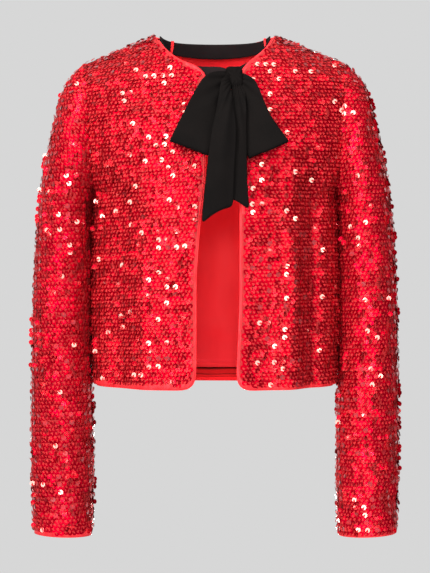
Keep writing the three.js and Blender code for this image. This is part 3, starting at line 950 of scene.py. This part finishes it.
    def _slice(self, z: float) -> list[list[tuple[Vector, Vector]]]:
        """Finds the cloth's outline round its axis at a level.

        Args:
            z: the level at the axis.

        Returns:
            Runs of points with their normals, one run for each unbroken stretch.
        """
        runs: list[list[tuple[Vector, Vector]]] = [[]]
        middle = self.shell.axis.at(z)
        reach = self.ray_reach
        for step in range(self.rays):
            angle = 2 * math.pi * step / self.rays
            way = Vector((math.cos(angle), math.sin(angle), self.slope * math.cos(angle)))
            place, normal, _, _ = self.tree.ray_cast(middle + way * reach, -way, reach * way.length)
            if place is None:
                if runs[-1]:
                    runs.append([])
                continue
            if runs[-1] and (runs[-1][-1][0] - place).length > self.gap:
                runs.append([])
            runs[-1].append((place, normal))
        runs = [run for run in runs if len(run) > 1]
        if len(runs) > 1 and (runs[0][0][0] - runs[-1][-1][0]).length < self.gap:
            runs[0] = runs.pop() + runs[0]
        return runs

    def _lay_rows(self, shift: float, first: bool) -> None:
        """Lays discs along level rows.

        Args:
            shift: the rows' shift, as a share of the pitch between rows.
            first: true for the main rows, which take every place; later rows fill only gaps.
        """
        low, high = self.box[0][2], self.box[1][2]
        near = self.along_row * (self.first_closest if first else self.closest)
        # As rows slope, the first ones start below the cloth and the last ones end above it
        for row in range(int((high - low) / self.row_rise) + 5):
            z = low + (row + shift - 1.7) * self.row_rise
            # Every other row is half a pitch on, and the filling rows a quarter more
            offset = self.along_row * ((0.5 if row % 2 else 0.0) + (0.0 if first else 0.25))
            for run in self._slice(z):
                lengths = [0.0]
                for before, after in zip(run, run[1:]):
                    lengths.append(lengths[-1] + (after[0] - before[0]).length)
                spots = np.arange(offset + self.along_row * 0.3, lengths[-1], self.along_row)
                for number, spot in enumerate(spots):
                    at = int(np.searchsorted(lengths, spot)) - 1
                    share = (spot - lengths[at]) / max(1e-9, lengths[at + 1] - lengths[at])
                    place = run[at][0].lerp(run[at + 1][0], share)
                    if not self._free(place, near):
                        continue
                    found = self.tree.find_nearest(place)
                    if not self._clear_of_edge(found[0], found[1]):
                        continue
                    self._take(found[0], run[at][1].lerp(run[at + 1][1], share).normalized(), row, number)

    def _lay_tops(self) -> None:
        """Fills cloth that lies nearly level, such as a shoulder, from above."""
        step = self.along_row * 0.5
        # Rays fall from above the neck on to cloth that is no steeper than sixty degrees
        for x in np.arange(self.box[0][0], self.box[1][0], step):
            for y in np.arange(self.box[0][1], self.box[1][1], step):
                place, normal, _, _ = self.tree.ray_cast(Vector((x, y, 0.1)), Vector((0.0, 0.0, -1.0)), 0.4)
                if place is None or normal.z < 0.5:
                    continue
                if self._free(place, self.along_row * self.closest) and self._clear_of_edge(place, normal):
                    self._take(place, normal, len(self.sites) % 3, len(self.sites))

    def _disc(self) -> tuple[np.ndarray, list[tuple[int, ...]], list[int]]:
        """Models one disc: a slightly cupped ring with a hole, and the thread across one side of it.

        Returns:
            Its points, faces and the faces' material numbers.
        """
        angles = [2 * math.pi * step / self.sides for step in range(self.sides)]
        points = [(self.hole * math.cos(a), self.hole * math.sin(a), 0.0) for a in angles[::2]]
        points += [(self.radius * math.cos(a), self.radius * math.sin(a), self.cup) for a in angles]
        half = self.sides // 2
        faces: list[tuple[int, ...]] = []
        for step in range(half):
            after = (step + 1) % half
            rim = half + 2 * step
            faces.append((step, rim, rim + 1, half + 2 * after, after))
        start = len(points)
        near, far, above = self.thread_near, self.thread_far, self.thread_above
        end = self.radius * 0.97
        points += [(-near, -near, above), (-near, near, above)]
        points += [(end, far, self.cup + above), (end, -far, self.cup + above)]
        faces.append((start, start + 3, start + 2, start + 1))
        return np.array(points), faces, [0] * half + [1]

    def _stands(
        self,
        chance: np.random.Generator,
        places: np.ndarray,
        normals: np.ndarray,
        row: np.ndarray,
        number: np.ndarray,
    ) -> np.ndarray:
        """Picks the discs that stand on edge, in broken upright lines on steep cloth.

        Args:
            chance: what the picks are drawn from.
            places: the discs' places.
            normals: the cloth's normals there.
            row: their rows.
            number: their numbers in the rows.

        Returns:
            True for each that stands.
        """
        # The upright lines waver from row to row, and patches of the cloth have none
        column = number + np.rint(1.2 * np.sin(row * 0.31)).astype(int)
        patch = np.sin(places[:, 0] * 47 + self.seed) + np.sin(places[:, 2] * 31 + places[:, 0] * 20)
        steep = np.abs(normals[:, 2]) < 0.35
        picked = chance.uniform(0, 1, len(places)) < self.standing_share
        return ((column % 5 == 0) & (patch > -0.5) & steep & picked)[:, None]

    def _threads(self, chance: np.random.Generator, normals: np.ndarray) -> tuple[np.ndarray, np.ndarray]:
        """Turns each disc's thread on the cloth.

        Args:
            chance: what the turns are drawn from.
            normals: the cloth's normals at the discs.

        Returns:
            The way of each thread and the way across it.
        """
        down = np.array([0.0, 0.0, -1.0]) - normals * (-normals[:, 2:3])
        # On level cloth, down is towards the front
        flat = np.linalg.norm(down, axis=1) < 0.2
        down[flat] = np.array([0.0, -1.0, 0.0]) - normals[flat] * (-normals[flat, 1:2])
        down /= np.linalg.norm(down, axis=1)[:, None]
        side = np.cross(down, normals)
        turns = chance.normal(0, self.turn_scatter, len(normals))
        turn = np.radians(self.thread_turn + turns)[:, None]
        thread = down * np.cos(turn) + side * np.sin(turn)
        return thread, np.cross(normals, thread)

    def _leans(
        self,
        chance: np.random.Generator,
        row: np.ndarray,
        number: np.ndarray,
        upper: np.ndarray,
    ) -> tuple[np.ndarray, np.ndarray]:
        """Works out how each disc leans, partly together with those beside it.

        Args:
            chance: what the leans are drawn from.
            row: the discs' rows.
            number: their numbers in the rows.
            upper: true for each that is raised.

        Returns:
            How far each leans along its thread and across it, in radians.
        """
        spread = np.where(upper, self.upper_scatter, self.scatter)
        rest = np.where(upper, self.upper_tilt, self.tilt)
        # Three neighbours in each of two rows lean together, and a disc laid from above joins any group
        group = row // 2 * 400 + number // 3
        shared = chance.normal(0, 1, (2, group.max() + 1))[:, group]
        own = chance.normal(0, 1, (2, len(row)))
        both = (shared * self.alike + own * math.sqrt(1.0 - self.alike**2))[:, :, None]
        return np.radians(rest + both[0] * spread), np.radians(both[1] * spread)

    def _make(self, finishes: Finishes) -> Object:
        """Copies the disc to every place and joins the copies.

        Args:
            finishes: the jacket's materials.

        Returns:
            The joined mesh as a piece.
        """
        disc, faces, numbers = self._disc()
        chance = np.random.default_rng(self.seed)
        count = len(self.sites)
        places, normals, row, number = (np.array(part) for part in zip(*self.sites))
        upper = ((row % 2 == 0) & (number % 2 == 0))[:, None]
        stands = self._stands(chance, places, normals, row, number)
        thread, across = self._threads(chance, normals)
        lean, sway = self._leans(chance, row, number, upper)
        first = thread * np.cos(lean) + normals * np.sin(lean)
        up = normals * np.cos(lean) - thread * np.sin(lean)
        second = across * np.cos(sway) + up * np.sin(sway)
        up = up * np.cos(sway) - across * np.sin(sway)
        lift = self.lift + chance.uniform(0, self.lift_spread, count)[:, None] + upper * self.upper_lift
        turned = np.radians(self.standing + chance.normal(0, self.standing_scatter, count))[:, None]
        beside = np.cross(normals, np.array([0.0, 0.0, 1.0]))
        beside /= np.maximum(np.linalg.norm(beside, axis=1)[:, None], 1e-6)
        along = np.cross(beside, normals)
        first = np.where(stands, -along, first)
        second = np.where(stands, beside * np.cos(turned) + normals * np.sin(turned), second)
        up = np.where(stands, normals * np.cos(turned) - beside * np.sin(turned), up)
        lift = np.where(stands, self.standing_lift + self.upper_lift, lift)
        shifts = chance.normal(0, self.shuffle, (2, count, 1))
        origin = places + normals * lift + thread * shifts[0] + across * shifts[1]
        points = (
            origin[:, None, :]
            + disc[None, :, 0:1] * first[:, None, :]
            + disc[None, :, 1:2] * second[:, None, :]
            + disc[None, :, 2:3] * up[:, None, :]
        )
        shade = chance.uniform(self.tone_low, self.tone_top, count)
        # Discs in the troughs of creases are painted darker: a painted shade for the folds
        for crease in self.shell.creases:
            if crease.rise < 0:
                shade *= 1.0 - np.clip(-crease.height(places) / self.trough_depth, 0.0, self.trough_shade)
        mesh = bpy.data.meshes.new(f"{self.shell.node}_sequins")
        join_copies(mesh, points, faces, numbers)
        mesh.materials.append(finishes.film)
        mesh.materials.append(finishes.thread)
        for name, values in (("tone", shade), ("raised", (upper | stands)[:, 0].astype(float))):
            attribute = mesh.attributes.new(name, "FLOAT", "POINT")
            attribute.data.foreach_set("value", np.repeat(values, len(disc)))
        mesh.update(calc_edges=True)
        mesh.validate()
        piece = bpy.data.objects.new(mesh.name, mesh)
        bpy.context.scene.collection.objects.link(piece)
        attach(piece, BODY)
        return piece


def join_copies(
    mesh: bpy.types.Mesh,
    points: np.ndarray,
    faces: list[tuple[int, ...]],
    numbers: list[int],
) -> None:
    """Fills a mesh with copies of one small form.

    Args:
        mesh: the empty mesh.
        points: the points of every copy, by copy and point.
        faces: the faces of one copy.
        numbers: the material numbers of those faces.
    """
    count, size = points.shape[:2]
    copies = np.arange(count)[:, None]
    loops = np.concatenate([np.array(face) for face in faces])
    starts = np.concatenate([[0], np.cumsum([len(face) for face in faces])[:-1]])
    mesh.vertices.add(count * size)
    mesh.vertices.foreach_set("co", points.reshape(-1))
    mesh.loops.add(count * len(loops))
    mesh.loops.foreach_set("vertex_index", (loops[None, :] + copies * size).reshape(-1))
    mesh.polygons.add(count * len(faces))
    mesh.polygons.foreach_set("loop_start", (starts[None, :] + copies * len(loops)).reshape(-1))
    mesh.polygons.foreach_set("material_index", np.tile(numbers, count))


WARM = "FFEFD8"

# Each lamp's place, width and height, power in watts and colour
LAMPS = {
    "key": ((-1.1, -2.5, 1.3), (0.81, 0.81), 61.2, WARM),
    "left_spark": ((-1.6, -2.4, 0.1), (0.69, 0.69), 42.6, WARM),
    "right_spark": ((1.1, -2.8, 0.9), (0.65, 0.65), 31.9, WARM),
    "front_lamp": ((-0.12, -3.5, 0.2), (0.69, 0.69), 45.2, "FFF4E4"),
    "low_left_spark": ((-0.9, -3.0, -0.8), (0.55, 0.55), 16.0, WARM),
    "low_right_spark": ((1.0, -3.0, -0.7), (0.55, 0.55), 16.0, WARM),
    "far_left_spark": ((-2.6, -1.5, -0.3), (0.6, 0.6), 20.0, WARM),
    "right_level_spark": ((1.9, -2.4, -0.2), (0.58, 0.58), 17.3, WARM),
    "top_left_spark": ((-0.8, -0.9, 1.7), (0.69, 0.69), 27.9, WARM),
    "top_right_spark": ((0.5, -0.8, 1.8), (0.62, 0.62), 21.3, WARM),
    "floor_bounce": ((0.0, -0.9, -1.25), (1.2, 1.0), 5.0, "FFF4F4"),
    "back_spark": ((0.0, 3.0, -1.2), (1.3, 0.4), 48.0, "FFFAF0"),
}


@dataclass
class Studio:
    """The camera, the lamps, the even pale surroundings and the floor.

    Attributes:
        distance: how far the camera stands from the jacket's middle.
        height: the camera's level, at which the lamps are aimed as well.
        lens: the lens in millimetres, on a sensor of sensor_mm.
        sensor_mm: the sensor's height in millimetres.
        backdrop: the colour of the surroundings.
        room_light: how strongly they light the front.
        room_light_behind: how strongly they light from behind.
        lamps: each lamp's place, size, power and colour.
        floor_level: the floor's level.
        floor_radius: its radius.
    """

    distance: float = 2.3
    height: float = -0.3282
    lens: float = 110.3
    sensor_mm: float = 36.0
    backdrop: str = "D7D7D7"
    room_light: float = 0.05
    room_light_behind: float = 1.4
    lamps: dict[str, tuple] = field(default_factory=LAMPS.copy)
    floor_level: float = -1.3
    floor_radius: float = 1.0

    def build(self) -> None:
        """Sets up the studio."""
        self._camera()
        self._surroundings()
        for name, (place, size, power, colour) in self.lamps.items():
            self._lamp(name, place, size, power, colour)
        self._floor()
        bpy.context.scene.view_settings.view_transform = "Standard"

    def _camera(self) -> None:
        """Places the camera level, straight before the jacket."""
        data = bpy.data.cameras.new("camera")
        data.sensor_fit = "VERTICAL"
        data.sensor_height = self.sensor_mm
        data.lens = self.lens
        camera = bpy.data.objects.new("camera", data)
        camera.location = (0.0, -self.distance, self.height)
        camera.rotation_euler = (math.radians(90), 0.0, 0.0)
        bpy.context.scene.collection.objects.link(camera)
        bpy.context.scene.camera = camera

    def _surroundings(self) -> None:
        """Fills the surroundings with one pale grey, which lights the jacket more from behind."""
        world = bpy.data.worlds.new("pale_studio")
        world.use_nodes = True
        tree = world.node_tree
        path = add_node(tree, "ShaderNodeLightPath")
        where = add_node(tree, "ShaderNodeTexCoord")
        way = add_node(tree, "ShaderNodeSeparateXYZ", {"Vector": where.outputs["Generated"]})
        room = add_node(
            tree,
            "ShaderNodeMapRange",
            {
                "Value": way.outputs["Y"],
                "From Min": 0.0,
                "From Max": 0.7,
                "To Min": self.room_light,
                "To Max": self.room_light_behind,
            },
        )
        strength = add_node(
            tree,
            "ShaderNodeMapRange",
            {"Value": path.outputs["Is Camera Ray"], "To Min": room.outputs["Result"], "To Max": 1.0},
        )
        values = {"Color": linear(self.backdrop), "Strength": strength.outputs["Result"]}
        set_inputs(tree, tree.nodes["Background"], values)
        bpy.context.scene.world = world

    def _lamp(
        self,
        name: str,
        place: tuple[float, float, float],
        size: tuple[float, float],
        power: float,
        colour: str,
    ) -> None:
        """Adds a softbox that faces the middle of the jacket.

        Args:
            name: the lamp's name.
            place: where it stands.
            size: its width and height.
            power: its power in watts.
            colour: its sRGB hex colour.
        """
        data = bpy.data.lights.new(name, "AREA")
        data.shape = "RECTANGLE"
        data.size, data.size_y = size
        data.energy = power
        data.color = linear(colour)[:3]
        lamp = bpy.data.objects.new(name, data)
        lamp.location = place
        aim = Vector((0.0, 0.0, self.height)) - Vector(place)
        lamp.rotation_euler = aim.to_track_quat("-Z", "Y").to_euler()
        bpy.context.scene.collection.objects.link(lamp)

    def _floor(self) -> None:
        """Lays a small pale floor well below the view."""
        select_none()
        place = (0.0, 0.0, self.floor_level)
        bpy.ops.mesh.primitive_circle_add(
            vertices=64, radius=self.floor_radius, fill_type="NGON", location=place
        )
        floor = bpy.context.active_object
        floor.name = "floor"
        material, tree, shader, where = new_material("pale_painted_floor")
        noise = add_node(tree, "ShaderNodeTexNoise", {"Vector": where, "Scale": 6.0})
        shades = ((0.3, "C2C6CB"), (0.7, "C8CCD1"))
        colour = add_node(tree, "ShaderNodeValToRGB", {"Fac": noise.outputs["Fac"]}, shades)
        set_inputs(tree, shader, {"Base Color": colour.outputs["Color"], "Roughness": 0.9})
        floor.data.materials.append(material)


BODY_AXIS = Axis([(-0.6, 0.0), (0.1, 0.0)])


def sleeve_axis(side: int) -> Axis:
    """Returns the middle line of a sleeve, on the side of +X or -X."""
    levels = [(-0.66, 0.199), (-0.42, 0.2), (-0.25, 0.195), (-0.13, 0.175), (-0.05, 0.165)]
    return Axis([(z, side * x) for z, x in levels])


# Each panel's flat width and length, and its flat area
PANEL_CUTS = {
    "front_right": ((0.205, 0.457), 0.0836),
    "front_left": ((0.2, 0.457), 0.0805),
    "back": ((0.43, 0.457), 0.1858),
    "sleeve_right": ((0.33, 0.615), 0.1487),
    "sleeve_left": ((0.33, 0.615), 0.1487),
}
INSIDE_CUTS = {
    "back_lining": ((0.4, 0.43), 0.1418),
    "back_hem_facing": ((0.33, 0.02), 0.0065),
    "front_edge_facing_right": ((0.01, 0.56), 0.0052),
    "front_edge_facing_left": ((0.01, 0.56), 0.0052),
    "ribbon_carrier_right": ((0.01, 0.022), 0.0002),
    "ribbon_carrier_left": ((0.01, 0.022), 0.0002),
}

# Which way each panel's threads lie, in degrees from straight down
THREAD_TURNS = {
    "front_right": 35.0,
    "front_left": -60.0,
    "back": 20.0,
    "sleeve_right": 160.0,
    "sleeve_left": 30.0,
}

# Soft folds as the worn jacket shows them, and similar ones where it is not seen
PANEL_CREASES = {
    "front_right": (
        Crease((-160, 0, -190), (-160, 0, -400), 22, 2.2),
        Crease((-150, -40, -150), (-95, -105, -240), 12, -1.8),
        Crease((-80, -112, -240), (-72, -116, -430), 15, 1.8),
        Crease((-120, -95, -230), (-112, -98, -440), 11, -2.0),
        Crease((-34, -116, -270), (-30, -117, -440), 9, -1.2),
    ),
    "front_left": (
        Crease((160, 0, -190), (160, 0, -400), 22, 2.2),
        Crease((150, -40, -140), (100, -105, -235), 12, -2.0),
        Crease((60, -115, -240), (66, -117, -430), 13, 1.6),
        Crease((84, -112, -200), (88, -112, -430), 9, -2.2),
        Crease((136, -75, -230), (132, -80, -440), 9, -2.4),
        Crease((118, -97, -150), (119, -97, -430), 9, -4.2),
    ),
    "back": (
        Crease((-160, 0, -190), (-160, 0, -400), 22, 2.2),
        Crease((160, 0, -190), (160, 0, -400), 22, 2.2),
        Crease((-140, 45, -160), (-70, 108, -260), 13, -2.0),
        Crease((142, 45, -170), (80, 105, -280), 14, -1.8),
        Crease((-48, 108, -250), (-42, 108, -445), 14, 2.0),
        Crease((22, 110, -230), (30, 108, -440), 12, -2.2),
        Crease((98, 92, -260), (104, 90, -440), 12, 1.8),
        Crease((-112, 85, -250), (-118, 82, -440), 11, -2.2),
    ),
    "sleeve_right": (
        Crease((-158, 0, -215), (-160, 0, -420), 20, 2.2),
        Crease((-222, -20, -300), (-172, -30, -330), 9, -1.8),
        Crease((-225, 15, -340), (-175, 35, -318), 9, -1.6),
        Crease((-176, -36, -150), (-168, -20, -250), 10, -2.0),
        Crease((-205, -38, -360), (-190, -36, -520), 12, 1.6),
        Crease((-230, 10, -420), (-222, 15, -600), 11, -1.6),
        Crease((-190, 44, -140), (-196, 42, -300), 12, 1.8),
    ),
    "sleeve_left": (
        Crease((158, 0, -215), (160, 0, -420), 20, 2.2),
        Crease((186, -48, -150), (192, -46, -196), 8, -2.4),
        Crease((224, -20, -310), (174, -30, -335), 9, -1.8),
        Crease((226, 15, -350), (176, 35, -322), 9, -1.6),
        Crease((204, -40, -220), (212, -38, -300), 10, 1.6),
        Crease((182, -30, -380), (180, -28, -560), 10, -2.0),
        Crease((192, 44, -150), (198, 42, -310), 12, 1.8),
    ),
}
LINING_CREASES = (
    Crease((-30, 108, -380), (40, 108, -392), 9, -1.6),
    Crease((4, 108, -60), (6, 108, -420), 8, -1.8),
    Crease((-60, 105, -200), (-30, 106, -340), 14, 1.4),
)

# Where the wrapped ribbon pulls the knot out of round, and where the left loop is drawn in
KNOT_GRABS = (
    Grab((18, -93, -55), 9, (-5.0, 0.0, 1.0)),
    Grab((34, -93, -55), 7, (1.0, 0.0, 1.0)),
    Grab((33, -93, -73), 8, (2.5, 0.0, -2.5)),
    Grab((20, -93, -75), 8, (-1.0, -1.0, -6.0)),
)
LEFT_LOOP_GRABS = (
    Grab((48, -118, -166), 20, (-5.5, 0.0, 1.5)),
    Grab((40, -112, -130), 18, (-3.0, 0.0, 0.0)),
)


@dataclass
class SequinPanels:
    """The two fronts, the back and the sleeves, with their sequins.

    Attributes:
        cuts: each panel's flat width and length, and its flat area.
        thread_turns: which way each panel's threads lie, in degrees from straight down.
        creases: the soft troughs and ridges of each panel.
        first_seed: what the panels' small differences are drawn from.
        front_tone_painted_darker: how light the lightest discs of the fronts are.
    """

    cuts: dict[str, tuple[tuple[float, float], float]] = field(default_factory=PANEL_CUTS.copy)
    thread_turns: dict[str, float] = field(default_factory=THREAD_TURNS.copy)
    creases: dict[str, tuple[Crease, ...]] = field(default_factory=PANEL_CREASES.copy)
    first_seed: int = 7
    # The fronts' discs are painted darker than those of the other panels: a painted shade
    front_tone_painted_darker: float = 0.5

    def build(self, solids: dict[str, Object], finishes: Finishes) -> None:
        """Makes each panel's cloth and sews its sequins on.

        Args:
            solids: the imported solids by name.
            finishes: the jacket's materials.
        """
        sleeves = {"sleeve_right": sleeve_axis(-1), "sleeve_left": sleeve_axis(1)}
        cloth = [finishes.ground, finishes.lining, finishes.rim]
        for number, (node, (cut, area)) in enumerate(self.cuts.items()):
            axis = sleeves.get(node, BODY_AXIS)
            shell = ClothShell(node, Slot.SEQUIN, axis, cut, area, creases=self.creases[node])
            shell.build(solids, cloth)
            # Only the fronts take this lower top tone, a painted shade that darkens them against the sleeves
            # and back
            top = self.front_tone_painted_darker if node.startswith("front") else 1.0
            sequins = SequinCloth(shell, self.thread_turns[node], self.first_seed + number, top)
            shell.declare(with_pieces=(sequins.build(finishes),))


@dataclass
class InsideCloths:
    """The lining, the turned hem and edges, and the two loops that carry the neck ribbon.

    Attributes:
        cuts: each piece's flat width and length, and its flat area.
        creases: the easing folds of the lining.
    """

    cuts: dict[str, tuple[tuple[float, float], float]] = field(default_factory=INSIDE_CUTS.copy)
    creases: tuple[Crease, ...] = LINING_CREASES

    def build(self, solids: dict[str, Object], finishes: Finishes) -> None:
        """Makes each piece.

        Args:
            solids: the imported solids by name.
            finishes: the jacket's materials.
        """
        looks = {"back_lining": finishes.lining, "back_hem_facing": finishes.hem}
        for node, (cut, area) in self.cuts.items():
            wide = node == "back_lining"
            creases = self.creases if wide else ()
            shell = ClothShell(node, Slot.LINING, BODY_AXIS, cut, area, 2 if wide else 1, creases)
            shell.build(solids, [looks.get(node, finishes.rim)] * 3)
            shell.declare(rests_on=("back_cloth",) if node.startswith("back") else ())


def ribbon_lengths() -> tuple[RibbonShell, ...]:
    """Gathers the lengths of ribbon that leave the knot.

    Returns:
        Each length with its flat cut and its folds.
    """
    loop = {"tuck": 0.8, "rise": 3.0}
    left = {"folds": 15.0, "turn": 200.0}
    tail = {"tuck": 0.8, "rise": 2.4, "run": 110.0}
    cuts = {
        "neck_ribbon": ((0.026, 0.34), 0.0084, {"tuck": 0.35}),
        "bow_loop_right": ((0.075, 0.13), 0.0088, {**loop, "folds": 14.0, "turn": 40.0}),
        "bow_loop_left": ((0.065, 0.13), 0.0075, {**loop, **left, "grabs": LEFT_LOOP_GRABS}),
        "bow_tail_right": ((0.04, 0.2), 0.0056, {**tail, "folds": 26.0, "turn": 90.0}),
        "bow_tail_left": ((0.036, 0.16), 0.0047, {**tail, "folds": 30.0}),
    }
    return tuple(
        RibbonShell(node, Slot.RIBBON, BODY_AXIS, cut, area, **shape)
        for node, (cut, area, shape) in cuts.items()
    )


@dataclass
class RibbonBow:
    """The black ribbon round the back of the neck and its tied bow.

    Attributes:
        lengths: each length of ribbon with its cut and its folds.
        knot_folds: how many gathers run round the knot.
        knot_rise: how far they stand out, in millimetres.
        knot_run: how far from its middle they fade by two thirds, in millimetres.
    """

    lengths: tuple[RibbonShell, ...] = field(default_factory=ribbon_lengths)
    knot_folds: float = 9.0
    knot_rise: float = 1.4
    knot_run: float = 30.0

    def build(self, solids: dict[str, Object], finishes: Finishes) -> None:
        """Makes the ribbon and the bow.

        Args:
            solids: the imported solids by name.
            finishes: the jacket's materials.
        """
        knot = RibbonShell(
            "bow_knot",
            Slot.RIBBON,
            BODY_AXIS,
            folds=self.knot_folds,
            rise=self.knot_rise,
            run=self.knot_run,
            grabs=KNOT_GRABS,
        )
        knot.build(solids, [finishes.ribbon] * 3)
        for length in self.lengths:
            at_neck = length.node == "neck_ribbon"
            # The ribbon round the neck takes the crepe painted lighter, a painted light
            length.build(solids, [finishes.neck_ribbon if at_neck else finishes.ribbon] * 3)
            length.declare(held="folded", with_pieces=(knot.piece,) if at_neck else ())


def main() -> None:
    """Builds the jacket's looks, piece by piece."""
    logging.basicConfig(level=logging.INFO, format="%(name)s: %(message)s")
    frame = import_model()
    Studio().build()
    finishes = Finishes()
    for part in (SequinPanels(), InsideCloths(), RibbonBow()):
        part.build(frame["nodes"], finishes)
        LOG.info("%s: done", type(part).__name__)
    bpy.context.view_layer.update()


if __name__ == "__main__":
    main()
